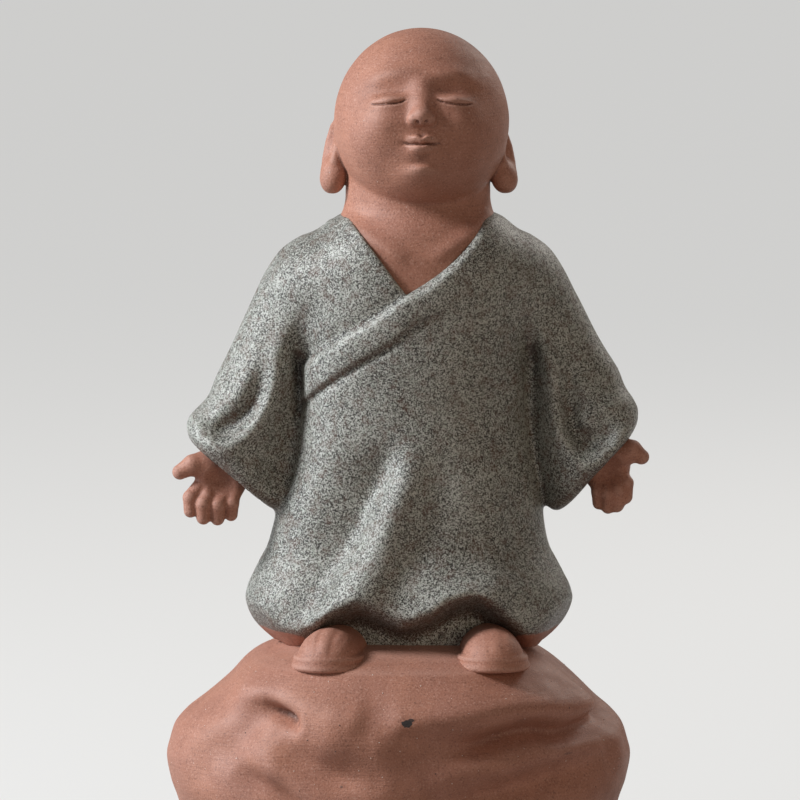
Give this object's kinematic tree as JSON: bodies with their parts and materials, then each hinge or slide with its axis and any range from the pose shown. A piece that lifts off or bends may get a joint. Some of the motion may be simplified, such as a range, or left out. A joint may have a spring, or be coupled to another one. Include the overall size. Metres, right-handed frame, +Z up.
{
  "type": "tea pet",
  "caption": "Ceramic tea pet: a bald child monk in a speckled glazed wrap robe stands on a worn clay boulder, face lifted and arms held open; a small ornament for a tea tray.",
  "frame": {"origin": "middle of the object's footprint, at the level of the boulder's foot", "axes": "+Z up, the figure faces -Y, its right side is at -X"},
  "size_m": [0.0828, 0.0668, 0.1401],
  "materials": {
    "red_clay": "unglazed red stoneware, matte, finely tooled",
    "speckled_glaze": "grey-green glaze with fine light and dark grains, satin"
  },
  "bodies": {
    "root": {"rock_base": "red_clay", "robe_body": "speckled_glaze", "lapel_band": "speckled_glaze", "sleeve_right": "speckled_glaze", "sleeve_left": "speckled_glaze", "hand_right": "red_clay", "hand_left": "red_clay", "neck_chest": "red_clay", "head": "red_clay", "ear_right": "red_clay", "ear_left": "red_clay", "shoe_sole_right": "red_clay", "shoe_sole_left": "red_clay", "shoe_upper_right": "red_clay", "shoe_upper_left": "red_clay"}
  },
  "joints": []
}
